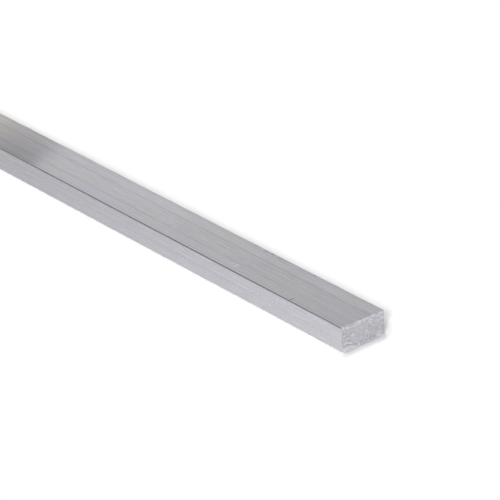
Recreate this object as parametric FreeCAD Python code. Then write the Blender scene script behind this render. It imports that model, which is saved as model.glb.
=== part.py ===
"""Aluminium flat bar: solid rectangular stock, extruded, in mill finish and sawn to length.

The bar is one solid. It lies flat, as it would on a bench or a rack.

  X runs along the bar, Y across its width, Z through its thickness.
  The origin is the middle of the underside, so the bar rests on Z = 0.

An extrusion die gives the section: a rectangle whose four long edges are slightly rounded.
A saw gives the two ends. The end at -X is cut square right through. The end at +X is cut
square as well, but the offcut broke away just before the blade was through. That left a burr
of metal standing out along the bottom edge. On the -Y side, under the curve of the blade, it
is higher and makes a lip.

All sizes are in millimetres.
"""

import FreeCAD
import Part

import math
import os

# The stock, as it is sold
LENGTH = 500.0
WIDTH = 20.0
THICKNESS = 10.0
EDGE_RADIUS = 0.4

# The lip and the burr that the saw left at the +X end
LIP_HEIGHT = 2.3        # up the -Y side, from the underside
LIP_RUN = 9.0           # from the -Y side to where the lip has come down to the burr
BURR_HEIGHT = 0.6       # the burr along the rest of the bottom edge
BLADE_RADIUS = 60.0     # the curve that the blade left along the top of the lip
SAW_CLEARANCE = 5.0     # how far a cut is drawn past the metal

# The torn edge of the lip and the burr, seen from above: each point's distance from the -Y side,
# then how far the metal stands out from the sawn face there
TORN_EDGE = [(0.0, 0.3), (2.0, 1.0), (8.0, 0.65), (16.5, 0.6), (20.0, 0.1)]
LIP_DEPTH = 1.0         # the most that it stands out

OUTPUT_FOLDER = "parts"


def bar_section(width, thickness, radius, x):
    """The extruded section in the plane at x: a rectangle with its four corners rounded."""
    half = width / 2
    flats = [
        ((-half + radius, 0), (half - radius, 0)),
        ((half, radius), (half, thickness - radius)),
        ((half - radius, thickness), (-half + radius, thickness)),
        ((-half, thickness - radius), (-half, radius)),
    ]
    corner_centres = [
        (half - radius, radius),
        (half - radius, thickness - radius),
        (-half + radius, thickness - radius),
        (-half + radius, radius),
    ]

    edges = []
    for side, (start, end) in enumerate(flats):
        edges.append(Part.LineSegment(FreeCAD.Vector(x, *start), FreeCAD.Vector(x, *end)).toShape())

        centre_y, centre_z = corner_centres[side]
        middle_angle = math.radians(-45 + 90 * side)
        middle_y = centre_y + radius * math.cos(middle_angle)
        middle_z = centre_z + radius * math.sin(middle_angle)
        next_start = flats[(side + 1) % len(flats)][0]
        corner = Part.Arc(
            FreeCAD.Vector(x, *end),
            FreeCAD.Vector(x, middle_y, middle_z),
            FreeCAD.Vector(x, *next_start),
        )
        edges.append(corner.toShape())
    return Part.Face(Part.Wire(edges))


def arc_middle(start, end, radius):
    """The middle point of the arc from start to end that bulges upwards, each point as (y, z)."""
    chord_y = end[0] - start[0]
    chord_z = end[1] - start[1]
    chord = math.hypot(chord_y, chord_z)
    rise = radius - math.sqrt(radius**2 - (chord / 2) ** 2)
    middle_y = (start[0] + end[0]) / 2 - chord_z / chord * rise
    middle_z = (start[1] + end[1]) / 2 + chord_y / chord * rise
    return middle_y, middle_z


def saw_cut_above_lip(x):
    """What the blade took from the end at x: the section down to the top of the lip and the burr."""
    near_side = -WIDTH / 2
    lip_top = (near_side, LIP_HEIGHT)
    lip_toe = (near_side + LIP_RUN, BURR_HEIGHT)
    lip_middle = arc_middle(lip_top, lip_toe, BLADE_RADIUS)

    left = near_side - SAW_CLEARANCE
    right = WIDTH / 2 + SAW_CLEARANCE
    above = THICKNESS + SAW_CLEARANCE
    corners = [lip_toe, (right, BURR_HEIGHT), (right, above), (left, above), (left, LIP_HEIGHT), lip_top]

    curve = Part.Arc(
        FreeCAD.Vector(x, *lip_top),
        FreeCAD.Vector(x, *lip_middle),
        FreeCAD.Vector(x, *lip_toe),
    )
    edges = [curve.toShape()]
    for start, end in zip(corners, corners[1:]):
        edges.append(Part.LineSegment(FreeCAD.Vector(x, *start), FreeCAD.Vector(x, *end)).toShape())
    cut_face = Part.Face(Part.Wire(edges))
    return cut_face.extrude(FreeCAD.Vector(SAW_CLEARANCE, 0, 0))


def metal_beyond_torn_edge(x):
    """The stock outside the torn edge, which came away with the offcut; x is the sawn face."""
    near_side = -WIDTH / 2
    torn = [(x + depth, near_side + distance) for distance, depth in TORN_EDGE]
    beyond = x + SAW_CLEARANCE
    outline = [(torn[0][0], near_side - SAW_CLEARANCE)]
    outline += torn
    outline += [(torn[-1][0], WIDTH / 2 + SAW_CLEARANCE)]
    outline += [(beyond, WIDTH / 2 + SAW_CLEARANCE), (beyond, near_side - SAW_CLEARANCE)]
    corners = [FreeCAD.Vector(along, across, -SAW_CLEARANCE) for along, across in outline + outline[:1]]
    cut_face = Part.Face(Part.makePolygon(corners))
    return cut_face.extrude(FreeCAD.Vector(0, 0, THICKNESS + 2 * SAW_CLEARANCE))


def flat_bar():
    """The whole bar: the section extruded to length, then cut back to the lip and the burr."""
    sawn_face = LENGTH / 2 - LIP_DEPTH
    section = bar_section(WIDTH, THICKNESS, EDGE_RADIUS, -LENGTH / 2)
    stock = section.extrude(FreeCAD.Vector(LENGTH, 0, 0))
    return stock.cut(saw_cut_above_lip(sawn_face)).cut(metal_beyond_torn_edge(sawn_face))


def main():
    bar = flat_bar()
    print("flat_bar", "valid", bar.isValid(), "solids", len(bar.Solids), "mm3", round(bar.Volume, 1))
    os.makedirs(OUTPUT_FOLDER, exist_ok=True)
    bar.Solids[0].exportStep(os.path.join(OUTPUT_FOLDER, "flat_bar.step"))


main()
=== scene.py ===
"""An aluminium flat bar in mill finish, sawn to length, lying on a white studio floor.

Everything is in metres, in the frame of the construction model: X runs along the bar, Y across
its width, Z through its thickness, and the bar rests on Z = 0 with the middle of its underside
at the origin. The photograph shows the end at +X, the top and the side at -Y.
"""

import math

import bmesh
import bpy
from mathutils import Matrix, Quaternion, Vector


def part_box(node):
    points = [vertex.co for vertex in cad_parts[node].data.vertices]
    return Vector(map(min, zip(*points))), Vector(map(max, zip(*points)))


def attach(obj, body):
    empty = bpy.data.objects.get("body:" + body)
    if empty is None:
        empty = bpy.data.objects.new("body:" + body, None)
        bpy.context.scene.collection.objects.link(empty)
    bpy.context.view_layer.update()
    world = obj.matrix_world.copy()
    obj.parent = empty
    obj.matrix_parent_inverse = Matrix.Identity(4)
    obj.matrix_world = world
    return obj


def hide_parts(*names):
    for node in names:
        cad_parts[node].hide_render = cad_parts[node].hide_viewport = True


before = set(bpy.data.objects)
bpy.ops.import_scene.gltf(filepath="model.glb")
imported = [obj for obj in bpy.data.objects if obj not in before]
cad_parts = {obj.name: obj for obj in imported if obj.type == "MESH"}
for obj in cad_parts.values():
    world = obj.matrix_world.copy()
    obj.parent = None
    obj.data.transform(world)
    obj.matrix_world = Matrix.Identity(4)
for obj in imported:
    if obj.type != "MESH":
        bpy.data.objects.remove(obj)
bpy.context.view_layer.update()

# The bar is one length of aluminium, pushed through a die and sawn off at both ends. The die
# left its four long edges slightly rounded. Here it is a block with those edges bevelled, cut
# through in both directions so that its sawn ends have a fine mesh.
low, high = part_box("flat_bar")
millimetre = 0.001
edge_radius = 0.4 * millimetre
edge_segments = 5
mesh_step = 0.14 * millimetre
ring_depths = [0.45, 0.9, 1.8, 4.0, 12.0]      # rings of vertices, in millimetres from each end
lip_depth = 1.0 * millimetre
sawn_x = high.x - lip_depth

bpy.ops.object.select_all(action="DESELECT")
bpy.ops.mesh.primitive_cube_add(
    size=1,
    location=((low.x + sawn_x) / 2, 0, high.z / 2),
    scale=(sawn_x - low.x, high.y - low.y, high.z),
)
bar = bpy.context.object
bar.name = "mill_bar"
bpy.ops.object.transform_apply(location=True, rotation=False, scale=True)


def pick(parts, wanted):
    """In edit mode, selects only the edges or faces of the bar for which wanted says yes."""
    bpy.ops.mesh.select_all(action="DESELECT")
    mesh = bmesh.from_edit_mesh(bar.data)
    for part in getattr(mesh, parts):
        if wanted(part):
            part.select_set(True)
    bmesh.update_edit_mesh(bar.data)


def runs_along_bar(edge):
    start, end = (corner.co for corner in edge.verts)
    return abs(start.x - end.x) > high.x


def is_sawn(face):
    """Whether the face looks along the bar, as only the faces of the two ends do."""
    return abs(face.normal.x) > 0.9


def cut_through(direction, places):
    """Cuts the whole bar at each place along the direction, which adds a row of vertices there."""
    for place in places:
        bpy.ops.mesh.select_all(action="SELECT")
        bpy.ops.mesh.bisect(plane_co=direction * place, plane_no=direction, threshold=1e-7)


def even_places(start, end, step):
    count = round((end - start) / step)
    return [start + (end - start) * i / count for i in range(1, count)]


mill = bpy.data.materials.new("mill_finish")
sawn = bpy.data.materials.new("sawn_end")
bar.data.materials.append(mill)
bar.data.materials.append(sawn)
sawn_slot = 1

bpy.ops.object.mode_set(mode="EDIT")
pick("edges", runs_along_bar)
bpy.ops.mesh.bevel(offset=edge_radius, segments=edge_segments, affect="EDGES")
pick("faces", is_sawn)
bar.active_material_index = sawn_slot
bpy.ops.object.material_slot_assign()
cut_through(Vector((0, 1, 0)), even_places(low.y, high.y, mesh_step))
cut_through(Vector((0, 0, 1)), even_places(low.z, high.z, mesh_step))
cut_through(Vector((1, 0, 0)), [sawn_x - depth * millimetre for depth in ring_depths])
cut_through(Vector((1, 0, 0)), [low.x + depth * millimetre for depth in ring_depths])
bpy.ops.object.mode_set(mode="OBJECT")


# The saw left rough ends. Shallow grooves follow the blade, over a finer torn grain. At +X the
# offcut broke away just before the blade was through: that left a lip low on the -Y side and a
# burr along the rest of the bottom edge. Distances on the end are from the -Y side and the top.
# The torn edge is given as distance from the -Y side, then how far it stands out.
lip_height = 2.3 * millimetre
lip_run = 9.0 * millimetre
lip_curve = 1.2         # how its top comes down to the burr: 1 is straight
lip_shoulder = 0.7      # the share of its height over which it comes out
burr_height = 0.7 * millimetre
torn_edge = [(0.0, 0.3), (2.0, 1.0), (8.0, 0.65), (16.5, 0.6), (20.0, 0.3)]
torn_band = 2.4 * millimetre
far_burr_depth = 0.3 * millimetre
smooth_angle = math.radians(40)
on_the_end = 1e-6       # a vertex this near an end's plane belongs to it


def smooth_step(value):
    value = min(max(value, 0.0), 1.0)
    return value * value * (3 - 2 * value)


def near_end(place):
    return 1.0 if place.x > sawn_x - on_the_end else 0.0


def far_end(place):
    return 1.0 if place.x < low.x + on_the_end else 0.0


def near_top(place):
    """The band along the top edge of the near end, where the blade's teeth tore in."""
    depth = high.z - place.z
    return near_end(place) * (1 - smooth_step(depth / torn_band))


def torn_depth(across):
    """How far the torn edge stands out, in millimetres, at a distance from the -Y side."""
    for (start, start_depth), (end, end_depth) in zip(torn_edge, torn_edge[1:]):
        if across <= end:
            return start_depth + (end_depth - start_depth) * smooth_step((across - start) / (end - start))
    return torn_edge[-1][1]


def near_lip(place):
    """How far the lip and the burr stand out at a place, as a share of the lip's depth."""
    across = place.y - low.y
    share = torn_depth(across / millimetre) * millimetre / lip_depth
    left = max(1 - across / lip_run, 0.0)
    height = burr_height + (lip_height - burr_height) * left ** lip_curve
    out = smooth_step((height - place.z) / (lip_shoulder * height))
    return near_end(place) * share * out


def far_burr(place):
    return far_end(place) * smooth_step((burr_height - place.z) / burr_height)


def smear_at(place, smears):
    """How far the smears push a place of the near end, in millimetres."""
    if not near_end(place):
        return 0.0
    spot = Vector((place.y - low.y, high.z - place.z)) / millimetre
    total = 0.0
    for points, half_width, amount in smears:
        nearest = math.inf
        for start, end in zip(points, points[1:]):
            start, run = Vector(start), Vector(end) - Vector(start)
            share = min(max((spot - start).dot(run) / run.length_squared, 0), 1)
            nearest = min(nearest, (spot - start - run * share).length)
        total += amount * (1 - smooth_step(nearest / half_width))
    return total


def paint(name, weight_at):
    """A vertex group on the bar, weighted by a function of each vertex's place."""
    group = bar.vertex_groups.new(name=name)
    for vertex in bar.data.vertices:
        weight = weight_at(vertex.co)
        if weight > 0:
            group.add([vertex.index], weight, "REPLACE")


def push_out(group, amount, axis="X"):
    """Moves a group by its weights, amount in millimetres: a smear of metal that stands out."""
    modifier = bar.modifiers.new(group, "DISPLACE")
    modifier.direction = axis
    modifier.vertex_group = group
    modifier.strength = amount * millimetre
    modifier.mid_level = 0.0
    bpy.ops.object.modifier_apply(modifier=modifier.name)


def roughen(group, amount, size, slant=0.0, stretch=1.0, axis="X", seed=0.0, ridged=False):
    """Pushes a group in and out by a cloudy pattern, amount and size in millimetres."""
    texture = bpy.data.textures.new(group, "CLOUDS")
    texture.noise_scale = size
    texture.noise_depth = 2
    texture.noise_type = "HARD_NOISE" if ridged else "SOFT_NOISE"
    pattern = bpy.data.objects.new(group, None)
    bpy.context.scene.collection.objects.link(pattern)
    pattern.location = (seed * millimetre, seed * millimetre, 0)
    pattern.rotation_euler = (math.radians(slant), 0, 0)
    pattern.scale = (millimetre, stretch * millimetre, millimetre)
    modifier = bar.modifiers.new(group, "DISPLACE")
    modifier.texture = texture
    modifier.texture_coords = "OBJECT"
    modifier.texture_coords_object = pattern
    modifier.direction = axis
    modifier.vertex_group = group
    modifier.strength = amount * millimetre
    modifier.mid_level = 0.5
    bpy.context.view_layer.update()
    bpy.ops.object.modifier_apply(modifier=modifier.name)
    bpy.data.objects.remove(pattern)
    bpy.data.textures.remove(texture)


# Each smear: the line it follows, from the -Y side and the top, half its width, how far it
# stands out (or in, where it is less than 0), all in millimetres.
face_smears = [
    # over and under the lip, from the -Y side
    ([(0.9, 7.0), (2.0, 6.7), (3.4, 7.3), (4.2, 7.7)], 0.6, 0.32),
    ([(0.1, 7.9), (2.0, 7.9), (4.0, 8.6), (7.3, 9.4)], 0.35, 0.1),
    ([(2.8, 6.2), (4.9, 6.8)], 0.45, -0.08),
    ([(3.8, 9.6), (6.5, 9.45), (7.6, 9.25)], 0.35, 0.4),
    ([(7.9, 9.2), (8.1, 9.4)], 0.45, 0.35),
    # crumbs and hollows on the middle of the end
    ([(1.1, 3.6), (1.5, 3.9)], 0.45, 0.15),
    ([(2.3, 4.2), (3.6, 4.5)], 0.4, -0.08),
    ([(4.4, 4.6), (5.1, 4.2)], 0.6, 0.2),
    ([(9.2, 3.4), (9.9, 3.9)], 0.4, 0.2),
    ([(11.3, 5.5), (11.5, 5.9)], 0.4, 0.15),
    ([(7.2, 7.2), (7.4, 7.4)], 0.45, 0.09),
    ([(15.8, 5.7), (16.0, 5.9)], 0.45, 0.09),
    ([(11.9, 8.8), (12.2, 9.0)], 0.4, 0.25),
    ([(12.2, 3.4), (13.6, 4.4), (17.3, 7.0)], 0.9, -0.06),
    ([(0.1, 4.5), (0.3, 6.2)], 0.4, -0.1),
    # torn metal under the top edge
    ([(0.3, 0.1), (0.7, 0.4)], 0.5, 0.25),
    ([(2.3, 0.6), (3.8, 1.0)], 0.7, 0.12),
    ([(5.0, 0.3), (5.8, 0.6)], 0.4, -0.12),
    ([(5.1, 1.0), (6.3, 1.5)], 0.4, 0.2),
    ([(6.8, 1.3), (9.0, 1.6)], 0.45, 0.18),
    ([(7.9, 0.3), (8.9, 0.9)], 0.4, 0.18),
    ([(9.8, 0.4), (10.8, 0.8)], 0.42, 0.27),
    ([(10.3, 1.2), (12.4, 1.7)], 0.35, -0.03),
    ([(12.4, 1.9), (14.4, 1.5)], 0.4, 0.2),
    ([(13.6, 0.4), (15.0, 0.7)], 0.4, 0.2),
    ([(14.2, 1.0), (15.1, 1.4)], 0.3, -0.13),
    ([(16.2, 1.0), (16.3, 1.2)], 0.45, 0.14),
    ([(16.7, 0.6), (17.1, 1.4)], 0.4, 0.22),
    ([(18.2, 0.4), (18.6, 0.7)], 0.4, 0.25),
    ([(17.2, 1.7), (17.8, 2.6)], 0.35, 0.06),
    ([(19.1, 2.3), (19.5, 3.1)], 0.4, 0.25),
    ([(15.5, 2.6), (17.0, 3.0), (18.2, 3.3)], 0.4, 0.15),
    # the burr near the +Y side
    ([(16.0, 8.9), (16.6, 9.3), (17.8, 9.4)], 0.35, 0.25),
    ([(18.0, 8.0), (19.1, 8.3)], 0.4, 0.15),
]

# Where the top edge of the near end was torn up or broken down.
edge_smears = [
    ([(0.1, 0.0), (0.6, 0.0)], 0.7, 0.27),
    ([(3.2, 0.0), (4.9, 0.0)], 0.9, -0.3),
    ([(6.8, 0.0), (11.5, 0.0)], 0.8, 0.15),
    ([(16.2, 0.0), (16.8, 0.0)], 0.7, -0.2),
]

bpy.ops.object.select_all(action="DESELECT")
bar.select_set(True)
bpy.context.view_layer.objects.active = bar
for weight_at in (near_end, far_end, near_top, near_lip, far_burr):
    paint(weight_at.__name__, weight_at)
for name, found in (("face_smears", face_smears), ("edge_smears", edge_smears)):
    paint(name + "_out", lambda place: smear_at(place, found))
    paint(name + "_in", lambda place: -smear_at(place, found))
# On each end, the blade's grooves come first, then the torn grain between them. The near end's
# top edge is torn more, also up and down. The metal that stands out comes last.
roughen("near_end", 0.26, size=0.55, slant=-27, stretch=4, ridged=True)
roughen("near_end", 0.3, size=0.45, slant=-27, stretch=1.6, seed=7)
roughen("near_top", 0.42, size=0.7, slant=-20, stretch=1.5, seed=3)
roughen("near_top", 0.2, size=0.6, axis="Z", seed=5)
roughen("far_end", 0.22, size=0.55, slant=25, stretch=5, seed=11, ridged=True)
roughen("far_end", 0.2, size=0.45, slant=25, stretch=1.6, seed=13)
push_out("near_lip", lip_depth / millimetre)
push_out("far_burr", -far_burr_depth / millimetre)
for name, axis in (("face_smears", "X"), ("edge_smears", "Z")):
    push_out(name + "_out", 1.0, axis)
    push_out(name + "_in", -1.0, axis)
bpy.ops.object.shade_smooth_by_angle(angle=smooth_angle)


# Mill finish is the bare metal as it leaves the die: bright, with fine lines along the bar.
# A few lines are wider, and run the bar's whole length. The metal is a little duller in faint patches,
# and it has light scratches from handling. Broad, very faint lighter and darker patches on the top are
# painted reflection.
def add_node(tree, kind, settings=None, inputs=None):
    """A node with its settings made, and its inputs set or linked."""
    made = tree.nodes.new(kind)
    for name, value in (settings or {}).items():
        setattr(made, name, value)
    for name, value in (inputs or {}).items():
        if isinstance(value, bpy.types.NodeSocket):
            tree.links.new(value, made.inputs[name])
        else:
            made.inputs[name].default_value = value
    return made


def combine(tree, operation, first, second):
    """The result of one sum on two values, each a number or another node's output."""
    return add_node(tree, "ShaderNodeMath", {"operation": operation}, {0: first, 1: second}).outputs[0]


def add_up(tree, start, shares):
    """The start, and each pattern times its share."""
    total = start
    for pattern, share in shares:
        total = combine(tree, "ADD", total, combine(tree, "MULTIPLY", pattern, share))
    return total


def cloud(tree, place, size, turn=(0, 0, 0), detail=2.0, seed=0.0):
    """A cloudy pattern around 0, its size in millimetres along X, Y and Z."""
    mapping = add_node(tree, "ShaderNodeMapping", inputs={
        "Vector": place,
        "Location": (seed, seed, seed),
        "Rotation": [math.radians(angle) for angle in turn],
        "Scale": [1 / (length * millimetre) for length in size],
    })
    noise = add_node(tree, "ShaderNodeTexNoise", inputs={
        "Vector": mapping.outputs[0],
        "Scale": 1.0,
        "Detail": detail,
        "Roughness": 0.6,
    })
    return combine(tree, "SUBTRACT", noise.outputs["Fac"], 0.5)


def fade(tree, value, start, end):
    """0 at start and before it, 1 at end and past it, and smooth between. End may be the lower."""
    return add_node(tree, "ShaderNodeMapRange", {"interpolation_type": "SMOOTHSTEP"}, {
        "Value": value, "From Min": start, "From Max": end, "To Min": 0.0, "To Max": 1.0,
    }).outputs["Result"]


def line_at(tree, value, middle, half_width):
    """1 where the value, in metres, is at the middle in millimetres, and 0 half a width away."""
    offset = combine(tree, "ABSOLUTE", combine(tree, "SUBTRACT", value, middle * millimetre), 0)
    return fade(tree, offset, half_width * millimetre, 0.0)


def mark_at(tree, place, middle, half_size, turn):
    """1 in the heart of an oval mark and 0 outside it. Its middle and half its size along X, Y
    and Z are in millimetres, and its turns about X, Y and Z in degrees."""
    inside = add_node(tree, "ShaderNodeMapping", {"vector_type": "TEXTURE"}, {
        "Vector": place,
        "Location": [length * millimetre for length in middle],
        "Rotation": [math.radians(angle) for angle in turn],
        "Scale": [length * millimetre for length in half_size],
    }).outputs[0]
    reach = add_node(tree, "ShaderNodeVectorMath", {"operation": "LENGTH"}, {0: inside}).outputs["Value"]
    return fade(tree, reach, 1.0, 0.4)


# Die lines that show by themselves: distance from the -Y side on the top, or from the top on
# the -Y side, then half the width, both in millimetres, then how much darker the metal is
# (brighter, where it is less than 0).
top_lines = [
    (0.25, 0.35, -0.12),
    (1.3, 0.9, 0.06),
    (5.6, 0.5, 0.11),
    (11.1, 0.5, -0.05),
    (11.8, 0.45, 0.06),
    (12.6, 0.5, -0.035),
    (13.8, 0.55, 0.13),
    (16.4, 2.6, -0.03),
]
side_lines = [
    (0.45, 0.4, 0.18),
    (3.4, 0.45, 0.07),
    (5.3, 0.45, 0.05),
    (7.0, 0.4, 0.02),
    (9.1, 0.4, 0.03),
]

# Marks: the middle of each, half its size, its turn, and how much darker the metal is.
mill_marks_and_painted_reflection = [
    # scratches on the top
    ((220.0, -8.45, 10.0), (0.42, 2.1, 0.3), (0, 0, -4), 0.42),
    ((185.6, -6.4, 10.0), (0.45, 2.1, 0.3), (0, 0, 19), -0.23),
    ((183.3, -5.8, 10.0), (0.45, 1.5, 0.3), (0, 0, 15), -0.17),
    ((185.9, -5.5, 10.0), (1.8, 0.45, 0.3), (0, 0, -23), -0.1),
    ((186.0, -2.6, 10.0), (0.4, 2.2, 0.3), (0, 0, 3), -0.07),
    ((144.8, -3.3, 10.0), (0.4, 2.4, 0.3), (0, 0, 33), -0.12),
    # knocks along the far edge
    ((178.7, 9.1, 10.0), (0.9, 0.55, 0.3), (0, 0, 0), 0.3),
    ((184.6, 8.9, 10.0), (1.2, 0.6, 0.3), (0, 0, 0), 0.22),
    ((188.2, 9.1, 10.0), (0.9, 0.55, 0.3), (0, 0, 0), 0.36),
    ((192.8, 9.0, 10.0), (1.8, 0.55, 0.3), (0, 0, 0), 0.15),
    ((196.5, 7.9, 10.0), (1.2, 0.5, 0.3), (0, 0, 0), 0.12),
    ((212.1, 9.2, 10.0), (0.9, 0.5, 0.3), (0, 0, 0), 0.3),
    # bright specks on the -Y side, on its upper edge and on the near corner
    ((189.0, -10.0, 8.0), (1.1, 0.4, 0.5), (0, 0, 0), -0.08),
    ((108.1, -10.0, 7.1), (1.2, 0.4, 0.5), (0, 0, 0), -0.1),
    ((137.6, -10.0, 3.9), (1.2, 0.4, 0.5), (0, 0, 0), -0.1),
    ((59.3, -10.0, 9.9), (0.8, 0.5, 0.5), (0, 0, 0), -0.5),
    ((248.4, -9.3, 10.1), (0.9, 0.55, 0.4), (0, 0, 35), -0.55),
    # broad, very faint lighter and darker patches of the top: painted reflection that evens its
    # brightness along the bar
    ((235.0, 7.0, 10.0), (32.0, 4.5, 0.5), (0, 0, 0), -0.055),
    ((119.0, 5.0, 10.0), (30.0, 7.0, 0.5), (0, 0, 0), -0.035),
    ((160.0, 0.0, 10.0), (24.0, 11.0, 0.5), (0, 0, 0), 0.025),
    ((196.0, -2.0, 10.0), (24.0, 8.0, 0.5), (0, 0, 0), 0.03),
]
mill_colour = (0.605, 0.598, 0.632)
hue_change = (0.01, 0.0, -0.10)     # towards a warmer grey, in broad faint patches
mill_roughness = 0.36
mill_relief = 0.02 * millimetre
face_mask_start, face_mask_end = 0.2 * millimetre, 0.1 * millimetre

mill.use_nodes = True
tree = mill.node_tree
shader = tree.nodes["Principled BSDF"]
shader.inputs["Metallic"].default_value = 1.0
place = add_node(tree, "ShaderNodeTexCoord").outputs["Object"]
axes = add_node(tree, "ShaderNodeSeparateXYZ", inputs={"Vector": place})
fine_lines = cloud(tree, place, (110, 0.45, 0.45), detail=3)
short_lines = cloud(tree, place, (11, 0.5, 0.5), detail=3, seed=5)
broad_lines = cloud(tree, place, (400, 1.6, 1.6), seed=4)
bands = cloud(tree, place, (90, 7, 7), seed=9)
grain = cloud(tree, place, (1.0, 0.5, 0.5), seed=2)
hue_patches = cloud(tree, place, (26, 6, 6), seed=12)
on_top = fade(tree, axes.outputs["Z"], high.z - face_mask_start, high.z - face_mask_end)
on_side = fade(tree, axes.outputs["Y"], low.y + face_mask_start, low.y + face_mask_end)
from_top = combine(tree, "SUBTRACT", high.z, axes.outputs["Z"])
from_side = combine(tree, "SUBTRACT", axes.outputs["Y"], low.y)
# each pattern, and how much it changes the metal's brightness
tones = [
    (fine_lines, 0.3),
    (short_lines, 0.45),
    (broad_lines, 0.12),
    (bands, 0.05),
    (grain, add_up(tree, 0.35, [(on_side, 0.2)])),
]
for face_mask, across, lines in ((on_top, from_side, top_lines), (on_side, from_top, side_lines)):
    for distance, half_width, darker in lines:
        line = line_at(tree, across, distance, half_width)
        tones.append((combine(tree, "MULTIPLY", line, face_mask), -darker))
for middle, half_size, turn, darker in mill_marks_and_painted_reflection:
    tones.append((mark_at(tree, place, middle, half_size, turn), -darker))
plain = add_node(tree, "ShaderNodeVectorMath", {"operation": "SCALE"}, {
    0: mill_colour, "Scale": add_up(tree, 1.0, tones),
})
less_on_side = add_up(tree, 1.0, [(on_side, -0.55)])
tint = add_node(tree, "ShaderNodeVectorMath", {"operation": "SCALE"}, {
    0: hue_change, "Scale": combine(tree, "MULTIPLY", hue_patches, less_on_side),
})
colour = add_node(tree, "ShaderNodeVectorMath", {"operation": "ADD"}, {
    0: plain.outputs[0], 1: tint.outputs[0],
})
tree.links.new(colour.outputs[0], shader.inputs["Base Color"])
roughness = add_up(tree, mill_roughness, [(fine_lines, 0.25), (bands, 0.12)])
tree.links.new(roughness, shader.inputs["Roughness"])
bump = add_node(tree, "ShaderNodeBump", inputs={
    "Height": add_up(tree, fine_lines, [(broad_lines, 1.5)]), "Distance": mill_relief, "Strength": 1.0,
})
tree.links.new(bump.outputs[0], shader.inputs["Normal"])

# The sawn ends are torn rather than polished, and rougher. Painted light lies on them: a painted
# highlight on the crumbs that stand out from the end, and painted shade in the hollows. The burr has
# painted shade, with a painted highlight on a smear along its top.
marks_and_painted_light_on_end = [
    # painted highlights: along the lip's top, at its end, on the burr's smear near the +Y side and on the
    # lip's face
    ((249.6, -5.0, 0.65), (0.9, 2.2, 0.32), (0, 0, 0), -0.35),
    ((249.6, -2.4, 0.95), (0.9, 0.6, 0.5), (0, 0, 0), -0.5),
    ((249.3, 6.9, 1.2), (0.9, 1.2, 0.45), (-8, 0, 0), -0.25),
    ((249.9, -8.5, 1.6), (0.9, 1.1, 0.7), (0, 0, 0), -0.1),
    # painted shade low on the lip, near the floor, and darker beside the +Y edge
    ((249.9, -7.8, 0.3), (0.9, 2.4, 0.75), (0, 0, 0), 0.22),
    ((249.2, 9.5, 2.6), (0.9, 1.6, 3.2), (0, 0, 0), 0.08),
]
sawn_colour = (0.60, 0.593, 0.625)
sawn_roughness = 0.42
sawn_relief = 0.1 * millimetre
crumb_start, crumb_end = -0.25 * millimetre, 0.25 * millimetre
burr_start, burr_end = 0.25 * millimetre, 0.5 * millimetre
burr_shade_start, burr_shade_end = low.z + 0.6 * millimetre, low.z + 0.3 * millimetre
beyond_lip_start, beyond_lip_end = low.y + 3.0 * millimetre, low.y + 5.0 * millimetre
shaded_plus_y_start, shaded_plus_y_end = low.y + 8.5 * millimetre, low.y + 10.0 * millimetre
torn_top_start, torn_top_end = high.z - 2.0 * millimetre, high.z - 0.4 * millimetre

sawn.use_nodes = True
tree = sawn.node_tree
shader = tree.nodes["Principled BSDF"]
shader.inputs["Metallic"].default_value = 1.0
place = add_node(tree, "ShaderNodeTexCoord").outputs["Object"]
axes = add_node(tree, "ShaderNodeSeparateXYZ", inputs={"Vector": place})
strokes = cloud(tree, place, (1, 1.6, 0.22), turn=(-32, 0, 0), detail=3)
crumbs = cloud(tree, place, (0.4, 0.4, 0.4), detail=3, seed=6)
patches = cloud(tree, place, (3, 3, 3), seed=8)
middle_x = (low.x + sawn_x) / 2
from_middle = combine(tree, "ABSOLUTE", combine(tree, "SUBTRACT", axes.outputs["X"], middle_x), 0)
stands_out = combine(tree, "SUBTRACT", from_middle, (sawn_x - low.x) / 2)
# Painted highlight where the metal stands out from the end, painted shade where it lies back.
painted_relief_light = combine(tree, "SUBTRACT", fade(tree, stands_out, crumb_start, crumb_end), 0.5)
# Painted shade on the burr: on metal that stands out, low down past the lip and anywhere on the +Y half.
low_down = fade(tree, axes.outputs["Z"], burr_shade_start, burr_shade_end)
beyond_lip = fade(tree, axes.outputs["Y"], beyond_lip_start, beyond_lip_end)
shaded_plus_y_half = fade(tree, axes.outputs["Y"], shaded_plus_y_start, shaded_plus_y_end)
burr_shade_zone = combine(tree, "MAXIMUM", combine(tree, "MULTIPLY", low_down, beyond_lip), shaded_plus_y_half)
painted_burr_shade = combine(tree, "MULTIPLY", fade(tree, stands_out, burr_start, burr_end), burr_shade_zone)
torn_top = fade(tree, axes.outputs["Z"], torn_top_start, torn_top_end)
tones = [
    (strokes, 0.35),
    (crumbs, 0.4),
    (patches, 0.12),
    (painted_relief_light, 0.55),
    (painted_burr_shade, -0.34),
    (torn_top, 0.10),
]
for middle, half_size, turn, darker in marks_and_painted_light_on_end:
    tones.append((mark_at(tree, place, middle, half_size, turn), -darker))
colour = add_node(tree, "ShaderNodeVectorMath", {"operation": "SCALE"}, {
    0: sawn_colour, "Scale": add_up(tree, 1.0, tones),
})
tree.links.new(colour.outputs[0], shader.inputs["Base Color"])
tree.links.new(add_up(tree, sawn_roughness, [(crumbs, 0.3)]), shader.inputs["Roughness"])
bump = add_node(tree, "ShaderNodeBump", inputs={
    "Height": combine(tree, "ADD", strokes, crumbs), "Distance": sawn_relief, "Strength": 1.0,
})
tree.links.new(bump.outputs[0], shader.inputs["Normal"])

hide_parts("flat_bar")
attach(bar, "root")


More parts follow.
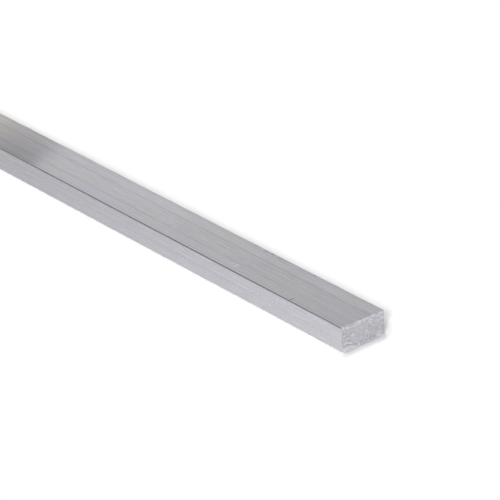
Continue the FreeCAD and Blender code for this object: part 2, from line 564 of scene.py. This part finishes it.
# The floor is a white sheet that runs on past the picture, and it takes the bar's shadow. In the
# metal it shows as an even sheet, a little greyer away from the near end.
def lay_plane(name, left, right, front, back, height):
    """A flat rectangle between the given places on X and on Y, with its place in its mesh."""
    bpy.ops.object.select_all(action="DESELECT")
    bpy.ops.mesh.primitive_plane_add(size=1, location=((left + right) / 2, (front + back) / 2, height))
    plane = bpy.context.object
    plane.name = name
    bpy.ops.transform.resize(value=(right - left, back - front, 1))
    bpy.ops.object.transform_apply(location=True, rotation=False, scale=True)
    return plane


def light_rays(tree):
    """Two values: 1 for the camera's own rays, and 1 for the rays that show things in metal."""
    rays = add_node(tree, "ShaderNodeLightPath").outputs
    in_metal = combine(tree, "MAXIMUM", rays["Is Glossy Ray"], rays["Is Transmission Ray"])
    return rays["Is Camera Ray"], in_metal


floor_reach = 3.0
floor_colour = (0.85, 0.85, 0.85, 1)
floor_glow = 0.04
sheet_start, sheet_end = 0.0, 0.27
sheet_start_level, sheet_end_level = 0.745, 1.06
sheet_colour = (0.996, 0.994, 1.01, 1)

floor = lay_plane("studio_floor", -floor_reach, floor_reach, -floor_reach, floor_reach, 0)
paper = bpy.data.materials.new("white_paper")
paper.use_nodes = True
tree = paper.node_tree
tree.nodes.clear()
to_camera, in_metal = light_rays(tree)
matt = add_node(tree, "ShaderNodeBsdfDiffuse", inputs={"Color": floor_colour})
glow = add_node(tree, "ShaderNodeEmission", inputs={
    "Strength": combine(tree, "MULTIPLY", to_camera, floor_glow),
})
lit = add_node(tree, "ShaderNodeAddShader", inputs={0: matt.outputs[0], 1: glow.outputs[0]})
place = add_node(tree, "ShaderNodeTexCoord").outputs["Object"]
along_bar = add_node(tree, "ShaderNodeSeparateXYZ", inputs={"Vector": place}).outputs["X"]
sheet_level = add_node(tree, "ShaderNodeMapRange", inputs={
    "Value": along_bar,
    "From Min": sheet_start, "From Max": sheet_end,
    "To Min": sheet_start_level, "To Max": sheet_end_level,
}).outputs["Result"]
sheet = add_node(tree, "ShaderNodeEmission", inputs={"Color": sheet_colour, "Strength": sheet_level})
both = add_node(tree, "ShaderNodeMixShader", inputs={0: in_metal, 1: lit.outputs[0], 2: sheet.outputs[0]})
add_node(tree, "ShaderNodeOutputMaterial", inputs={"Surface": both.outputs[0]})
floor.data.materials.append(paper)

# Light: the metal shows a pale room all round, darker low down and at the front left, where a
# black card stands to draw the bar's edge, and brighter at the right, where a window is. The
# room lights the floor from all sides.
room_level = 0.8
room_light = 0.094
horizon_share = 0.6
horizon_rise = 0.22
dark_direction = Vector((-0.70, -0.50, 0.38)).normalized()
dark_edge = math.radians(44)
dark_heart = math.radians(26)
dark_share = 0.15
window_direction = Vector((0.75, 0.40, 0.50)).normalized()
window_edge = math.radians(55)
window_heart = math.radians(25)
window_share = 1.45

world = bpy.data.worlds.new("pale_room")
bpy.context.scene.world = world
world.use_nodes = True
tree = world.node_tree
tree.nodes.clear()
direction = add_node(tree, "ShaderNodeTexCoord").outputs["Generated"]
room = room_level
for middle, edge, heart, share in (
    (dark_direction, dark_edge, dark_heart, dark_share),
    (window_direction, window_edge, window_heart, window_share),
):
    towards = add_node(tree, "ShaderNodeVectorMath", {"operation": "DOT_PRODUCT"}, {
        0: direction, 1: middle,
    }).outputs["Value"]
    patch = fade(tree, towards, math.cos(edge), math.cos(heart))
    room = combine(tree, "MULTIPLY", room, add_up(tree, 1.0, [(patch, share - 1)]))
height = add_node(tree, "ShaderNodeSeparateXYZ", inputs={"Vector": direction}).outputs["Z"]
rise = fade(tree, height, 0.0, horizon_rise)
room = combine(tree, "MULTIPLY", room, add_up(tree, horizon_share, [(rise, 1 - horizon_share)]))
to_camera, in_metal = light_rays(tree)
shown = add_node(tree, "ShaderNodeMix", inputs={"Factor": in_metal, "A": room_light, "B": room})
shown = add_node(tree, "ShaderNodeMix", inputs={
    "Factor": to_camera, "A": shown.outputs["Result"], "B": 1.0,
})
background = add_node(tree, "ShaderNodeBackground", inputs={"Strength": shown.outputs["Result"]})
add_node(tree, "ShaderNodeOutputWorld", inputs={"Surface": background.outputs[0]})


def add_lamp(name, kind, energy, location, target):
    """A lamp that points at the target and doesn't show to the camera."""
    data = bpy.data.lights.new(name, kind)
    data.energy = energy
    lamp = bpy.data.objects.new(name, data)
    bpy.context.scene.collection.objects.link(lamp)
    lamp.location = location
    lamp.rotation_euler = (Vector(target) - lamp.location).to_track_quat("-Z", "Y").to_euler()
    lamp.visible_camera = False
    return lamp


# Three wide distant lamps light the floor and cast the bar's soft shadow: one low at the front,
# one overhead, a little to the left, and one high at the front. They don't show in the metal.
# Each has its strength, the direction it stands in, and its width in degrees.
for name, energy, stands_at, width in (
    ("front_lamp", 2.92, (0.552, -0.670, 0.497), 12),
    ("overhead_lamp", 1.26, (-0.31, 0.02, 1.0), 30),
    ("ceiling_lamp", 0.89, (0.04, -0.61, 1.0), 24),
):
    lamp = add_lamp(name, "SUN", energy, stands_at, (0, 0, 0))
    lamp.data.angle = math.radians(width)
    lamp.visible_glossy = False

# A narrow flag stands just clear of the near end and softens the shadow round it. It doesn't
# show, in the picture or in the metal.
flag_height = 0.0047
flag_left, flag_right = sawn_x + 0.0003, sawn_x + 0.002
flag_front, flag_back = low.y - 0.002, low.y + 0.0194
flag_roughness = 0.9
flag_colour = (0.02, 0.02, 0.02, 1)

flag = lay_plane("shadow_flag", flag_left, flag_right, flag_front, flag_back, flag_height)
flag.visible_camera = False
flag.visible_glossy = False
flag.visible_diffuse = False
black = bpy.data.materials.new("black_felt")
black.use_nodes = True
black.node_tree.nodes["Principled BSDF"].inputs["Base Color"].default_value = flag_colour
black.node_tree.nodes["Principled BSDF"].inputs["Roughness"].default_value = flag_roughness
flag.data.materials.append(black)

# A soft box behind the bar shows in its top, more so towards the far end.
box_energy = 0.024
box_size = 0.2
box_place = (-0.21, 0.216, 0.19)
box_target = (0.07, 0, 0.01)

box = add_lamp("soft_box", "AREA", box_energy, box_place, box_target)
box.data.size = box_size
box.visible_diffuse = False

# A grey card hangs close over the bar at the left, and shows only in its top: grey at its right
# end, more so towards the front, and paler and warmer beyond.
card_height = 0.019
card_left, card_right = -0.012, 0.0418
card_front, card_back = -0.015, 0.045
card_slant = 0.0255
warm_start, warm_end = 0.027, -0.002
paler_start, paler_end = 0.0, 0.02
front_grey = (0.42, 0.42, 0.42, 1)
back_grey = (0.61, 0.61, 0.61, 1)
warm_grey = (0.745, 0.705, 0.635, 1)
first_colour, second_colour, mixed_colour = 6, 7, 2     # the Mix node's sockets for colours

card = lay_plane("grey_card", card_left, card_right, card_front, card_back, card_height)
for corner in card.data.vertices:
    if corner.co.x > 0:
        corner.co.x -= card_slant * (corner.co.y - card_front) / (card_back - card_front) - card_slant / 2
card.visible_camera = False
card.visible_diffuse = False
card.visible_shadow = False
board = bpy.data.materials.new("grey_board")
board.use_nodes = True
tree = board.node_tree
tree.nodes.clear()
place = add_node(tree, "ShaderNodeTexCoord").outputs["Object"]
axes = add_node(tree, "ShaderNodeSeparateXYZ", inputs={"Vector": place})
warm = fade(tree, axes.outputs["X"], warm_start, warm_end)
paler = add_node(tree, "ShaderNodeMapRange", inputs={
    "Value": axes.outputs["Y"], "From Min": paler_start, "From Max": paler_end,
}).outputs["Result"]
grey = add_node(tree, "ShaderNodeMix", {"data_type": "RGBA"}, {
    "Factor": paler, first_colour: front_grey, second_colour: back_grey,
})
shade = add_node(tree, "ShaderNodeMix", {"data_type": "RGBA"}, {
    "Factor": warm, first_colour: grey.outputs[mixed_colour], second_colour: warm_grey,
})
glow = add_node(tree, "ShaderNodeEmission", inputs={"Color": shade.outputs[mixed_colour]})
add_node(tree, "ShaderNodeOutputMaterial", inputs={"Surface": glow.outputs[0]})
card.data.materials.append(board)

# The camera stands a metre off at the front right and looks down through a long lens. It aims at
# a place 33 mm back from the near end, in front of the bar and above it.
camera_azimuth = math.radians(51.781)
camera_elevation = math.radians(27.111)
camera_roll = math.radians(-2.765)
camera_distance = 1.0163
aim = Vector((sawn_x, low.y, low.z)) + Vector((-0.03280, -0.01359, 0.03390))
photo_width = 500
focal_pixels = 2864.9

camera_data = bpy.data.cameras.new("camera")
camera_data.sensor_width = 36
camera_data.lens = focal_pixels / photo_width * camera_data.sensor_width
camera = bpy.data.objects.new("camera", camera_data)
bpy.context.scene.collection.objects.link(camera)
backwards = Vector((
    math.sin(camera_azimuth) * math.cos(camera_elevation),
    -math.cos(camera_azimuth) * math.cos(camera_elevation),
    math.sin(camera_elevation),
))
camera.location = aim + backwards * camera_distance
camera.rotation_mode = "QUATERNION"
roll = Quaternion((0, 0, 1), camera_roll)
camera.rotation_quaternion = (-backwards).to_track_quat("-Z", "Y") @ roll
bpy.context.scene.camera = camera
bpy.context.scene.view_settings.view_transform = "Standard"
